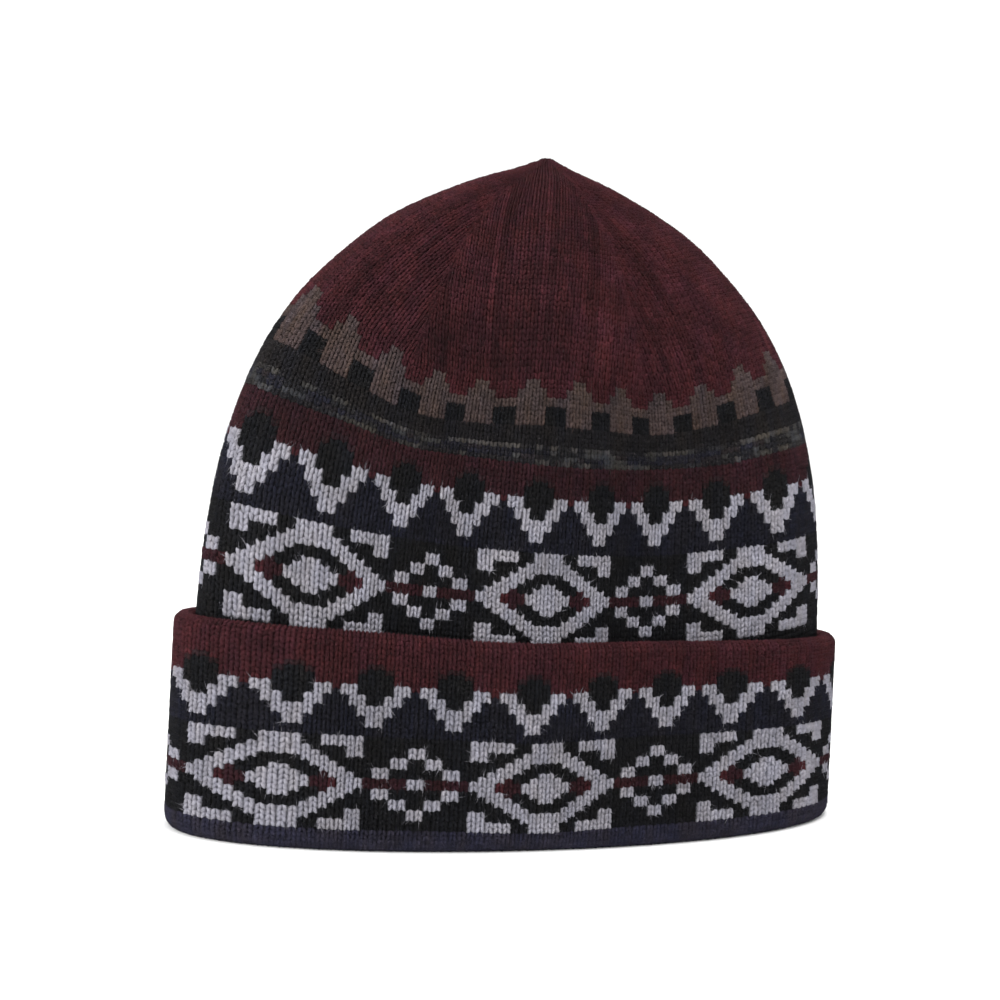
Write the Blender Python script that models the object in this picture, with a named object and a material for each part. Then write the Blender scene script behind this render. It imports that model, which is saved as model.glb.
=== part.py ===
"""A knitted beanie with a turned-up cuff, standing on the fold of the cuff.

Metres, +Z up, the front towards -Y. The origin lies on the floor, midway across and midway deep.
Two knitted pieces: the crown, which is the body of the hat, and the cuff, which turns up round it.
"""

import math

import bpy
import numpy as np

CUFF_WIDTH = 0.220  # across the cuff, side fold to side fold
CUFF_DEPTH = 0.094  # front to back over the cuff, as the hat stands open
HAT_HEIGHT = 0.210  # floor to the point of the crown
CUFF_HEIGHT = 0.0618  # floor to the cuff's top edge, before it tilts and sags
CUFF_TILT = 0.0018  # the top edge stands this much higher at the left side, and lower at the right
CUFF_DIP = 0.0016  # and sags this much near the middle of the front
DIP_ANGLE = math.radians(100)
DIP_SPREAD = math.radians(18)  # half the width of that sag, round the cuff
CUFF_WALL = 0.0060  # the cuff is a doubled hem
BODY_WALL = 0.0030  # one layer of patterned knit with its floats
FOLD_WALL = 0.0030  # knit under the edge of the crown, where the cuff turns up
FOLD_ROUND = 0.0045  # height of the rounding below the cuff's outer face
REST_STRIP = 0.0030  # width of the fold that is pressed flat on the floor
KNIT_GAP = 0.0003  # between the cuff and the crown

DART_DEPTH = 0.0014  # how far a line of decreases draws the crown in
DART_SPREAD = math.radians(9)  # half the width of that hollow, round the crown
DARTS = [math.radians(side) for side in (78, 123, 231, 280, 352)]  # a fifth of the stitches apart

COLUMNS = 72  # faces round the hat
CROWN_RINGS = 20  # rings of the crown above the cuff
ROUND_STEPS = 5  # faces of each rounding of the cuff's section

# The crown above the cuff: shares of the rise to its point, and of the body's half width and half depth.
CROWN_SECTIONS = (
    # rise, width, depth
    (0.000, 1.000, 1.00),
    (0.160, 0.985, 1.05),
    (0.335, 0.947, 1.08),
    (0.510, 0.871, 1.04),
    (0.655, 0.757, 0.93),
    (0.770, 0.608, 0.78),
    (0.855, 0.457, 0.60),
    (0.930, 0.248, 0.36),
    (0.972, 0.090, 0.14),
    (1.000, 0.000, 0.00),
)

BODY_HALF_WIDTH = CUFF_WIDTH / 2 - CUFF_WALL - KNIT_GAP
BODY_HALF_DEPTH = CUFF_DEPTH / 2 - CUFF_WALL - KNIT_GAP
SHOULDER = CUFF_HEIGHT + CUFF_TILT  # the body is straight up to here
CROWN_FOOT = FOLD_WALL + KNIT_GAP

BURGUNDY_WOOL = (0.060, 0.016, 0.022, 1.0)
NAVY_WOOL = (0.022, 0.022, 0.034, 1.0)
WOOL_ROUGHNESS = 0.95


def clear_scene():
    for thing in list(bpy.data.objects):
        bpy.data.objects.remove(thing, do_unlink=True)


def wool(name, colour):
    """A matt knitted wool of one colour."""
    material = bpy.data.materials.new(name)
    material.use_nodes = True
    shader = material.node_tree.nodes["Principled BSDF"]
    shader.inputs["Base Color"].default_value = colour
    shader.inputs["Roughness"].default_value = WOOL_ROUGHNESS
    shader.inputs["Metallic"].default_value = 0.0
    return material


def turns():
    """Angles of the columns round the hat: 0 is the right side, a quarter turn is the front."""
    return np.linspace(0, 2 * math.pi, COLUMNS, endpoint=False)


def oval(half_width, half_depth):
    """Points of an ellipse at the columns' angles, one row of x and y for each half width given."""
    angle = turns()
    x = np.multiply.outer(half_width, np.cos(angle))
    y = np.multiply.outer(half_depth, -np.sin(angle))
    return x, y


def body_outward():
    """Unit vectors square to the body's ellipse: the cosine over its half width, the sine over its half depth."""
    angle = turns()
    out = np.stack([np.cos(angle) / BODY_HALF_WIDTH, -np.sin(angle) / BODY_HALF_DEPTH])
    return out / np.linalg.norm(out, axis=0)


def curve_through(rows, count):
    """A smooth curve through the rows, read at even steps of length.

    Between two rows it is a cubic whose slope at each is half the step between its neighbours.
    """
    rows = np.array(rows)
    held = np.vstack([2 * rows[0] - rows[1], rows, 2 * rows[-1] - rows[-2]])
    place = np.linspace(0, len(rows) - 1, 24 * len(rows))
    first = np.minimum(place.astype(int), len(rows) - 2)
    step = (place - first)[:, None]
    a, b, c, d = (held[first + k] for k in range(4))
    along = b + 0.5 * step * (c - a + step * (2 * a - 5 * b + 4 * c - d + step * (3 * (b - c) + d - a)))
    length = np.concatenate([[0], np.cumsum(np.linalg.norm(np.diff(along, axis=0), axis=1))])
    even = np.linspace(0, length[-1], count)
    return np.stack([np.interp(even, length, column) for column in along.T], axis=1)


def crown_rings():
    """Rings of the crown's outside, from its foot to just under its point: arrays of x, y and z.

    Each ring is an ellipse from the table. The darts draw it in: a bell-shaped hollow round each line of
    decreases, which deepens over the top of the crown and dies out at its point.
    """
    rise, width, depth = np.array(CROWN_SECTIONS).T
    sections = np.stack(
        [
            SHOULDER + rise * (HAT_HEIGHT - SHOULDER),
            width * BODY_HALF_WIDTH,
            depth * BODY_HALF_DEPTH,
        ],
        axis=1,
    )
    height, half_width, half_depth = curve_through(sections, CROWN_RINGS + 1)[:-1].T
    height = np.concatenate([[CROWN_FOOT, (CROWN_FOOT + SHOULDER) / 2], height])
    half_width = np.concatenate([[BODY_HALF_WIDTH] * 2, half_width])
    half_depth = np.concatenate([[BODY_HALF_DEPTH] * 2, half_depth])
    x, y = oval(half_width, half_depth)
    share = half_width / BODY_HALF_WIDTH
    pull = DART_DEPTH * np.clip(4 * share * (1 - share), 0, 1) ** 2
    hollow = sum(np.exp(-(((turns() - dart) / DART_SPREAD) ** 2)) for dart in DARTS)
    away = np.maximum(np.hypot(x, y), pull.max())
    keep = 1 - np.multiply.outer(pull, hollow) / away
    return x * keep, y * keep, np.broadcast_to(height[:, None], x.shape)


def ring_faces(rings, closed_section):
    """Quads between neighbouring rings, joined from the last ring to the first where the section is closed."""
    column = np.arange(COLUMNS)
    beside = (column + 1) % COLUMNS
    lower = np.arange(rings if closed_section else rings - 1)[:, None]
    upper = (lower + 1) % rings
    quads = [lower * COLUMNS + column, upper * COLUMNS + column, upper * COLUMNS + beside, lower * COLUMNS + beside]
    return np.stack(quads, axis=-1).reshape(-1, 4).tolist()


def add_piece(name, points, faces, material):
    mesh = bpy.data.meshes.new(name)
    mesh.from_pydata(points.tolist(), [], faces)
    mesh.materials.append(material)
    mesh.shade_smooth()
    mesh.set_sharp_from_angle(angle=math.radians(50))
    piece = bpy.data.objects.new(name, mesh)
    bpy.context.scene.collection.objects.link(piece)
    return piece


def build_crown():
    """The body of the hat, one wall of knit from inside the cuff to the point, open below."""
    x, y, z = crown_rings()
    points = np.stack([x, y, z], axis=-1).reshape(-1, 3)
    point_of_crown = len(points)
    points = np.vstack([points, [0, 0, HAT_HEIGHT]])
    faces = ring_faces(len(x), closed_section=False)
    last = point_of_crown - COLUMNS
    faces += [(last + k, point_of_crown, last + (k + 1) % COLUMNS) for k in range(COLUMNS)]
    crown = add_piece("crown", points, faces, wool("knit_body", BURGUNDY_WOOL))
    wall = crown.modifiers.new("wall", "SOLIDIFY")
    wall.thickness = BODY_WALL
    wall.offset = -1
    wall.use_even_offset = True
    return crown


def cuff_section():
    """The cuff's section as a closed outline: distance out from the body's outside, height, share of tilt and sag.

    It starts on the strip that rests on the floor, rounds up to the outer face, rounds over the top edge in
    a half circle, comes down beside the body, crosses below the body's edge and rounds back to the strip.
    """
    inner_end = -BODY_WALL
    outer_face = KNIT_GAP + CUFF_WALL
    strip_middle = (inner_end + outer_face) / 2
    strip = (strip_middle - REST_STRIP / 2, strip_middle + REST_STRIP / 2)
    turn = np.linspace(0, math.pi / 2, ROUND_STEPS + 1)
    over = np.linspace(0, math.pi, 2 * ROUND_STEPS + 1)
    top = CUFF_HEIGHT - CUFF_WALL / 2
    out = [
        strip[1] + (outer_face - strip[1]) * np.sin(turn),
        KNIT_GAP + CUFF_WALL / 2 * (1 + np.cos(over)),
        [KNIT_GAP, inner_end],
        strip[0] + (inner_end - strip[0]) * np.cos(turn[1:]),
    ]
    up = [
        FOLD_ROUND * (1 - np.cos(turn)),
        top + CUFF_WALL / 2 * np.sin(over),
        [FOLD_WALL, FOLD_WALL],
        FOLD_WALL * (1 - np.sin(turn[1:])),
    ]
    out, up = np.concatenate(out), np.concatenate(up)
    return out, up, np.clip((up - FOLD_ROUND) / (top - FOLD_ROUND), 0, 1)


def build_cuff():
    """The cuff: its section carried round the body's ellipse, square to it.

    Its top edge is tilted by the cosine of the angle and sags in a bell shape near the middle of the front.
    """
    out, up, lifted = cuff_section()
    x, y = oval(BODY_HALF_WIDTH, BODY_HALF_DEPTH)
    outward_x, outward_y = body_outward()
    sag = CUFF_DIP * np.exp(-(((turns() - DIP_ANGLE) / DIP_SPREAD) ** 2))
    lift = -CUFF_TILT * np.cos(turns()) - sag
    across = x + np.multiply.outer(out, outward_x)
    deep = y + np.multiply.outer(out, outward_y)
    high = up[:, None] + np.multiply.outer(lifted, lift)
    points = np.stack([across, deep, high], axis=-1).reshape(-1, 3)
    faces = ring_faces(len(out), closed_section=True)
    return add_piece("cuff", points, faces, wool("knit_cuff", NAVY_WOOL))


clear_scene()
build_crown()
build_cuff()
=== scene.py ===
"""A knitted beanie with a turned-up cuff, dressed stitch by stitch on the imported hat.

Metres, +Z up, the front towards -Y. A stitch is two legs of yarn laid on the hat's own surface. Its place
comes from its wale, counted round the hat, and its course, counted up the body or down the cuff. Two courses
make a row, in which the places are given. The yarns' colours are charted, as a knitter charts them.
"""

import math

import bpy
import numpy as np
from mathutils import Matrix, Vector


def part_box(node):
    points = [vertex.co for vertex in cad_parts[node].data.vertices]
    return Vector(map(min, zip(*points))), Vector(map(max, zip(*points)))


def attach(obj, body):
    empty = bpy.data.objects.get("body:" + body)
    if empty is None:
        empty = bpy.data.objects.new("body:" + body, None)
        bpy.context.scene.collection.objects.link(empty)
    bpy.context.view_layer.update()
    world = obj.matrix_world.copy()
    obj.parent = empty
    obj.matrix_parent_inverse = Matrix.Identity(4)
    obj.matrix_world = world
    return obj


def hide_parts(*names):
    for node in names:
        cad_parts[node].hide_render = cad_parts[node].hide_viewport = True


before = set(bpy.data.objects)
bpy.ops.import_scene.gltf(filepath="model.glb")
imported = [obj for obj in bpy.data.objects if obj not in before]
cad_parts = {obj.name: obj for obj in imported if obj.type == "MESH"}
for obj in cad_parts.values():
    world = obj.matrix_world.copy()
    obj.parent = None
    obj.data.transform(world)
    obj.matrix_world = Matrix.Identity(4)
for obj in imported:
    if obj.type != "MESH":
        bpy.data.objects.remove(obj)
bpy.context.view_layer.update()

# The hat's sizes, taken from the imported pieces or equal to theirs.
crown_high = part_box("crown")[1]
cuff_low, cuff_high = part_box("cuff")
CUFF_WALL = 0.0060
BODY_WALL = 0.0030
FOLD_WALL = 0.0030
FOLD_ROUND = 0.0045
REST_STRIP = 0.0030
KNIT_GAP = 0.0003
CUFF_TILT = 0.0018
CUFF_DIP = 0.0016
DIP_ANGLE = math.radians(100)
DIP_SPREAD = math.radians(18)
HAT_HEIGHT = crown_high.z
SHOULDER = cuff_high.z
CUFF_HEIGHT = SHOULDER - CUFF_TILT
OUTER_FACE = KNIT_GAP + CUFF_WALL
BODY_HALF_WIDTH = (cuff_high.x - cuff_low.x) / 2 - OUTER_FACE
BODY_HALF_DEPTH = (cuff_high.y - cuff_low.y) / 2 - OUTER_FACE
CROWN_FOOT = FOLD_WALL + KNIT_GAP

# The crown above the cuff: shares of the rise to its point, and of the body's half width and half depth.
CROWN_SECTIONS = (
    # rise, width, depth
    (0.000, 1.000, 1.00),
    (0.160, 0.985, 1.05),
    (0.335, 0.947, 1.08),
    (0.510, 0.871, 1.04),
    (0.655, 0.757, 0.93),
    (0.770, 0.608, 0.78),
    (0.855, 0.457, 0.60),
    (0.930, 0.248, 0.36),
    (0.972, 0.090, 0.14),
    (1.000, 0.000, 0.00),
)
PROFILE_STEPS = 500  # points read along the crown's profile
CURVE_STEPS = 24  # points worked out from one row of a table to the next
DART_DEPTH = 0.0014
DART_SPREAD = math.radians(9)

# Steps by which a surface's slope is read: round the hat, and along it.
ANGLE_STEP = 2e-3
LENGTH_STEP = 2e-4
TINY = 1e-12  # keeps a length off zero before it divides

# The knitting.
WALES = 180  # stitches round the hat
PANELS = 5  # wedges of the crown, between the lines of decreases
PANEL_WALES = WALES // PANELS
FIRST_LINE = -22  # the wale where the first line of decreases stands
COURSE = 0.5  # of a row
BAND_TOP = 26  # the body's row where the plain crown starts
TOP_ROW = 56  # the row where the crown is gathered
NARROWING = 0.85  # the power of the rest of the way by which a wedge loses its stitches
LEAST_STITCHES = 2.0  # left in a wedge at the point
POINT_STOP = 0.0012  # no stitch lies nearer to the point than this, along the profile
HIDDEN_BELOW = 0.003  # stitches further than this below the cuff's edge are left out

# The wales that stand on a V's point or on a fold, and their angles round the cuff and round the body.
WALE_PLACES = (
    # wale, cuff degrees, body degrees
    (-42.3, 180.0, 180.0),
    (-38.0, 164.2, 160.5),
    (-29.0, 138.9, 136.5),
    (-20.0, 123.4, 121.5),
    (-11.0, 109.9, 110.0),
    (-2.0, 96.9, 97.5),
    (7.0, 85.2, 86.2),
    (16.0, 73.4, 75.6),
    (25.0, 59.5, 62.0),
    (34.0, 39.4, 43.5),
    (43.0, 15.5, 17.0),
    (47.7, 0.0, 0.0),
)

# Lower edges of the body's rows: their heights in millimetres at these angles, the back mirroring the front.
ROW_ANGLES = (0, 20, 44, 62, 76, 86, 97.5, 110, 121.5, 135, 150, 180)
BODY_ROWS = (
    (-18, (1000 * CROWN_FOOT,) * 12),
    (-3, (55.1, 54.4, 52.1, 50.1, 48.9, 48.5, 48.7, 49.3, 50.1, 51.3, 52.3, 53.1)),
    (0, (66.2, 65.3, 62.4, 60.2, 59.0, 58.6, 58.9, 59.8, 60.8, 61.9, 63.4, 64.6)),
    (10, (98.5, 97.4, 94.2, 91.7, 89.6, 89.2, 89.7, 90.9, 92.8, 95.6, 98.7, 101.7)),
    (17, (125.0, 123.3, 119.3, 114.7, 112.6, 112.0, 112.4, 114.0, 115.9, 121.8, 126.8, 132.4)),
    (22, (143.2, 141.3, 136.2, 129.8, 125.5, 126.1, 127.0, 126.2, 128.0, 135.4, 143.5, 149.5)),
    (BAND_TOP, (155.5, 153.8, 149.0, 139.8, 135.5, 136.8, 137.6, 136.2, 139.2, 148.3, 156.0, 164.5)),
)
LOWEST_BODY_ROW = -3
WALE_LEAN = 0.068  # wales to the right for each row below LEAN_ROW
LEAN_ROW = 9
LEAN_LESS = 0.8  # the share by which they slip less about LEAN_LESS_WALE, left of the front's middle
LEAN_LESS_WALE = -18
LEAN_LESS_SPREAD = 8

# Upper edges of the cuff's rows on its outer face, and how far each is levelled against the cuff's tilt.
CUFF_FACE_ROWS = (
    # row, height, levelled
    (3, CUFF_HEIGHT - CUFF_WALL / 2, 0.0),
    (7, 0.0480, 1.0),
    (11, 0.0360, 1.0),
    (12, 0.0333, 1.0),
    (21, 0.0065, 1.0),
    (21.7, FOLD_ROUND, 0.0),
)
CUFF_ROWS = 24  # rows from inside the top edge down to the strip that rests on the floor
ROW_SAG = 0.0010  # the rows of the cuff's face hang this much lower about this angle
SAG_ANGLE = math.radians(95)
SAG_SPREAD = math.radians(10)
OVER_STEPS = 33  # points over the cuff's top edge
TURN_STEPS = 17  # points round each side of its fold

# Yarns, as display colours.
YARNS = {
    "m": (52, 22, 26),  # maroon
    "r": (37, 18, 22),  # burgundy band
    "q": (30, 20, 22),  # maroon brushed over by the dark dome below
    "w": (140, 138, 146),  # pale lavender grey
    "k": (16, 16, 18),  # near black
    "n": (21, 21, 29),  # navy
    "b": (41, 39, 51),  # navy, brushed lighter at the fold
    "t": (66, 54, 52),  # taupe
    "d": (24, 22, 23),  # dark stripe
    "h": (36, 34, 36),  # heather, its lighter row
    "g": (30, 29, 34),  # heather, its darker row
}
HEATHERS = {
    "h": ((22, 21, 24), (34, 33, 34), (62, 59, 57), (50, 49, 48), (26, 25, 28)),
    "g": ((21, 21, 29), (25, 25, 34), (30, 26, 29), (24, 24, 27), (50, 50, 51)),
}

HEATHER_CHANGE = 0.5  # how often a heather changes from one stitch to the next
PALE_SPREAD = 0.05  # how far the dye of one stitch is off, as a share of its colour
DARK_SPREAD = 0.12
CROWN_SPREAD = 0.14
STREAK_SPREAD = 0.16  # the same for a whole wale of the crown

# Soft dark patches on the crown: place, reach, depth of the darkening.
DARK_PATCHES = (
    ((-0.0434, -0.0372, 0.1455), 0.011, 0.38),
    ((-0.0205, -0.0412, 0.1500), 0.010, 0.30),
)

# A V with the dark dome in its notch, top course first. A dot keeps what lies under the motif.
VEE = (
    "...qq....",
    "..qkkq...",
    "..kkkk...",
    "..kkkk...",
    "wwkkkkwwm",
    "wwkkkkww.",
    ".wwkkww..",
    ".wwkkww..",
    "..wwww...",
    "..wwww...",
    "...ww....",
    "...ww....",
)
# The upper half of a diamond between brackets, then a rosette.
DIAMOND_TOP = (
    "wwwww..wwww..wwwww............",
    "wwwww..wwww..wwwww............",
    "ww....wwwwww....ww.....ww.....",
    "ww...wwwwwwww...ww.....ww.....",
    "....www....www.......ww..ww...",
    "...www......www......ww..ww...",
    "..www...ww...www...ww......ww.",
    ".wwwr..wwww..rwww..ww......ww.",
    "wwwmrrwwwwwwrrmwwwrrrrrwwrrrrr",
)
DIAMOND = DIAMOND_TOP + DIAMOND_TOP[::-1]
# Dark squares under taupe teeth.
TEETH = (
    "mmmmttm",
    "mmmmttm",
    "mmmtttt",
    "mmmtttt",
    "ttttttt",
    "ttttttt",
    "kkktttt",
    "kkktttt",
    "kkktttt",
    "kkktttt",
    "ddddddd",
    "ddddddd",
    "ddddddd",
    "ddddddd",
)

# Where the motifs start: wales round the hat, and their top courses, counted down the cuff or up the body.
VEE_LEFT = -6
DIAMOND_LEFT = -9
CUFF_VEE_TOP = 10
CUFF_DIAMOND_TOP = 24
BODY_DIAMOND_TOP = 17
BODY_VEE_TOP = 31
TEETH_TOP = 51
TEETH_TURN = 86  # wales by which the teeth are turned round the hat
WIDE_TEETH = 24  # teeth of seven wales, and two of six behind make up the round


def srgb(colour):
    """Linear values of a display colour given from 0 to 255."""
    share = np.asarray(colour, float) / 255
    return np.where(share <= 0.04045, share / 12.92, ((share + 0.055) / 1.055) ** 2.4)


# Smooth readings


def curve_through(rows, count):
    """A smooth curve through the rows, read at even steps of length.

    Between two rows it is a cubic whose slope at each is half the step between its neighbours.
    """
    rows = np.array(rows)
    held = np.vstack([2 * rows[0] - rows[1], rows, 2 * rows[-1] - rows[-2]])
    place = np.linspace(0, len(rows) - 1, CURVE_STEPS * len(rows))
    first = np.minimum(place.astype(int), len(rows) - 2)
    step = (place - first)[:, None]
    a, b, c, d = (held[first + k] for k in range(4))
    along = b + 0.5 * step * (c - a + step * (2 * a - 5 * b + 4 * c - d + step * (3 * (b - c) + d - a)))
    length = np.concatenate([[0], np.cumsum(np.linalg.norm(np.diff(along, axis=0), axis=1))])
    even = np.linspace(0, length[-1], count)
    return np.stack([np.interp(even, length, column) for column in along.T], axis=1)


def smooth_read(place, places, values):
    """Values between the given places on cubics that keep the slope steady where two of them meet."""
    slope = np.gradient(values, places)
    first = np.clip(np.searchsorted(places, place, side="right") - 1, 0, len(places) - 2)
    gap = places[first + 1] - places[first]
    s = (place - places[first]) / gap
    start, end = values[first], values[first + 1]
    rise = 3 * (end - start) - gap * (2 * slope[first] + slope[first + 1])
    turn = 2 * (start - end) + gap * (slope[first] + slope[first + 1])
    return start + s * (gap * slope[first] + s * (rise + s * turn))


def round_wales(column):
    """Wales and angles once round the hat and a little past it, the back mirroring the front."""
    table = np.array(WALE_PLACES)
    wale, angle = table[:, 0], np.radians(table[:, column])
    back_wale = 2 * wale[-1] - wale[-2::-1]
    back_angle = -angle[-2::-1]
    wale, angle = np.concatenate([wale, back_wale]), np.concatenate([angle, back_angle])
    before = wale[-4:-1] - WALES, angle[-4:-1] + 2 * math.pi
    after = wale[1:4] + WALES, angle[1:4] - 2 * math.pi
    return np.concatenate([before[0], wale, after[0]]), np.concatenate([before[1], angle, after[1]])


CUFF_WALES = round_wales(1)
BODY_WALES = round_wales(2)


def wale_angle(wale, wales):
    """The angle round the hat of a wale: 0 is the right side, a quarter turn is the front."""
    first = WALE_PLACES[0][0]
    return smooth_read((wale - first) % WALES + first, *wales)


# The body's surface


def crown_profile():
    """Columns of length up from the shoulder, height, half width and half depth, floor to point."""
    rise, width, depth = np.array(CROWN_SECTIONS).T
    height = SHOULDER + rise * (HAT_HEIGHT - SHOULDER)
    sections = np.stack([height, width * BODY_HALF_WIDTH, depth * BODY_HALF_DEPTH], axis=1)
    curve = curve_through(sections, PROFILE_STEPS)
    length = np.concatenate([[0], np.cumsum(np.linalg.norm(np.diff(curve, axis=0), axis=1))])
    floor = [-SHOULDER, 0, BODY_HALF_WIDTH, BODY_HALF_DEPTH]
    return np.vstack([floor, np.column_stack([length, curve])]).T


PROFILE = crown_profile()
CROWN_LENGTH = PROFILE[0, -1]
LINES = FIRST_LINE + PANEL_WALES * np.arange(PANELS)
DARTS = wale_angle(LINES.astype(float), BODY_WALES)


def bell(angle, middle, spread):
    """A bell shape round the hat: one at its middle, falling away on both sides, once a turn."""
    return np.exp(-((np.sin((angle - middle) / 2) * 2 / spread) ** 2))


def body_surface(angle, length):
    """Points of the body: an ellipse read from the profile at a length, drawn in beside the decreases."""
    half_width = np.interp(length, PROFILE[0], PROFILE[2])
    half_depth = np.interp(length, PROFILE[0], PROFILE[3])
    x, y = half_width * np.cos(angle), -half_depth * np.sin(angle)
    share = half_width / BODY_HALF_WIDTH
    pull = DART_DEPTH * np.clip(4 * share * (1 - share), 0, 1) ** 2
    hollow = sum(bell(angle, dart, DART_SPREAD) for dart in DARTS)
    keep = 1 - pull * hollow / np.maximum(np.hypot(x, y), DART_DEPTH)
    return np.stack([x * keep, y * keep, np.interp(length, PROFILE[0], PROFILE[1])], axis=-1)


def row_table():
    """The row table's rows, its angles in radians with one mirrored past each fold, and the heights."""
    angles = np.radians(np.concatenate([[-ROW_ANGLES[1]], ROW_ANGLES, [360 - ROW_ANGLES[-2]]]))
    heights = np.array([heights for row, heights in BODY_ROWS]) / 1000
    heights = np.concatenate([heights[:, 1:2], heights, heights[:, -2:-1]], axis=1)
    return np.array([row for row, heights in BODY_ROWS], float), angles, heights


TABLE_ROWS, TABLE_ANGLES, TABLE_HEIGHTS = row_table()


def body_length(angle, row):
    """The length up the profile of a row: the row table up to the crown, then even steps."""
    angle, row = np.broadcast_arrays(angle, row)
    folded = np.abs((angle + math.pi) % (2 * math.pi) - math.pi)
    low = np.minimum(row, BAND_TOP)
    first = np.clip(np.searchsorted(TABLE_ROWS, low, side="right") - 1, 0, len(TABLE_ROWS) - 2)
    share = (low - TABLE_ROWS[first]) / (TABLE_ROWS[first + 1] - TABLE_ROWS[first])
    read = np.stack([smooth_read(folded, TABLE_ANGLES, heights) for heights in TABLE_HEIGHTS])
    below = np.take_along_axis(read, first[None], axis=0)[0]
    above = np.take_along_axis(read, first[None] + 1, axis=0)[0]
    length = np.interp(below + share * (above - below), PROFILE[1], PROFILE[0])
    rest = np.clip((row - BAND_TOP) / (TOP_ROW - BAND_TOP), 0, 1)
    return length + rest * (CROWN_LENGTH - length)


def panel_stitches(row):
    """Stitches left in one wedge of the crown at a row, as a smooth number."""
    rest = np.clip((row - BAND_TOP) / (TOP_ROW - BAND_TOP), 0, 1)
    return np.maximum(PANEL_WALES * (1 - rest) ** NARROWING, LEAST_STITCHES)


def off_surface(surface, angle, length, out, turned):
    """A point moved out square to the surface, along the cross product of the two directions on it.

    The product points out of the cuff, where turned is 1, and into the body, where it is -1.
    """
    here = surface(angle, length)
    round_it = surface(angle + ANGLE_STEP, length) - surface(angle - ANGLE_STEP, length)
    up_it = surface(angle, length + LENGTH_STEP) - surface(angle, length - LENGTH_STEP)
    normal = turned * np.cross(round_it, up_it)
    normal /= np.maximum(np.linalg.norm(normal, axis=-1, keepdims=True), TINY)
    return here + normal * np.asarray(out)[..., None]


def body_lean(wale, row):
    """How far the wales have slipped round to the right below the diamonds' top, in wales.

    It grows evenly down the rows, times one less a bell shape about the wale that slips least.
    """
    from_least = (wale - LEAN_LESS_WALE + WALES / 2) % WALES - WALES / 2
    less = LEAN_LESS * np.exp(-((from_least / LEAN_LESS_SPREAD) ** 2))
    return WALE_LEAN * np.clip(LEAN_ROW - row, 0, LEAN_ROW) * (1 - less)


def body_at(panel, across, row, out):
    """A place on the body: stitches across from a wedge's middle wale, a row, and a distance outwards."""
    wale = panel + across * PANEL_WALES / panel_stitches(row)
    angle = wale_angle(wale + body_lean(wale, row), BODY_WALES)
    length = np.minimum(body_length(angle, row), CROWN_LENGTH - POINT_STOP)
    return off_surface(body_surface, angle, length, out, -1)


# The cuff's surface


def cuff_path():
    """The cuff's section from inside its top edge, over, down and under.

    Its columns are length, distance out, height and share of the lift. It goes over the edge in a half circle
    and round the fold in two quarter ellipses.
    """
    middle = (OUTER_FACE - BODY_WALL) / 2
    over = np.linspace(math.pi, 0, OVER_STEPS)
    turn = np.linspace(math.pi / 2, 0, TURN_STEPS)
    back = np.linspace(0, math.pi / 2, TURN_STEPS)
    top = CUFF_HEIGHT - CUFF_WALL / 2
    outer, inner = middle + REST_STRIP / 2, middle - REST_STRIP / 2
    out = [
        KNIT_GAP + CUFF_WALL / 2 * (1 + np.cos(over)),
        outer + (OUTER_FACE - outer) * np.sin(turn),
        inner + (-BODY_WALL - inner) * np.sin(back),
    ]
    up = [
        top + CUFF_WALL / 2 * np.sin(over),
        FOLD_ROUND * (1 - np.cos(turn)),
        FOLD_WALL * (1 - np.cos(back)),
    ]
    out, up = np.concatenate(out), np.concatenate(up)
    length = np.concatenate([[0], np.cumsum(np.hypot(np.diff(out), np.diff(up)))])
    return np.stack([length, out, up, np.clip((up - FOLD_ROUND) / (top - FOLD_ROUND), 0, 1)])


CUFF_PATH = cuff_path()
OVER_LENGTH = CUFF_PATH[0, OVER_STEPS - 1]
ROUND_LENGTH = CUFF_PATH[0, OVER_STEPS + TURN_STEPS - 1]


def off_ellipse(angle, out):
    """The plan of the body's ellipse, moved out square to it."""
    away_x, away_y = np.cos(angle) / BODY_HALF_WIDTH, -np.sin(angle) / BODY_HALF_DEPTH
    size = np.hypot(away_x, away_y)
    x = BODY_HALF_WIDTH * np.cos(angle) + out * away_x / size
    y = -BODY_HALF_DEPTH * np.sin(angle) + out * away_y / size
    return x, y


def cuff_surface(angle, length):
    """Points of the cuff: its section carried round the body's ellipse, square to it, tilted and sagging."""
    out = np.interp(length, CUFF_PATH[0], CUFF_PATH[1])
    up = np.interp(length, CUFF_PATH[0], CUFF_PATH[2])
    lifted = np.interp(length, CUFF_PATH[0], CUFF_PATH[3])
    x, y = off_ellipse(angle, out)
    lift = -CUFF_TILT * np.cos(angle) - CUFF_DIP * bell(angle, DIP_ANGLE, DIP_SPREAD)
    return np.stack([x, y, up + lift * lifted], axis=-1)


def cuff_length(angle, row):
    """The length down the section of a row: even over the top edge, by its height on the face, then even."""
    row_at, height, levelled = np.array(CUFF_FACE_ROWS).T
    top, foot = height[0], height[-1]
    on_face = OVER_LENGTH + top - np.interp(row, row_at, height)
    tilt = -CUFF_TILT * np.cos(angle) * np.interp(np.interp(row, row_at, height), [foot, top], [0, 1])
    sag = ROW_SAG * bell(angle, SAG_ANGLE, SAG_SPREAD)
    on_face = on_face + (tilt + sag) * np.interp(row, row_at, levelled)
    over = OVER_LENGTH * row / row_at[0]
    foot_length = OVER_LENGTH + top - foot
    under = foot_length + (ROUND_LENGTH - foot_length) * (row - row_at[-1]) / (CUFF_ROWS - row_at[-1])
    return np.where(row < row_at[0], over, np.where(row > row_at[-1], under, on_face))


def cuff_at(panel, across, row, out):
    """A place on the cuff: a wale, a row counted down from inside the top edge, and a distance outwards."""
    angle = wale_angle(panel + across, CUFF_WALES)
    return off_surface(cuff_surface, angle, cuff_length(angle, row), out, 1)


# The charts


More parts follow.
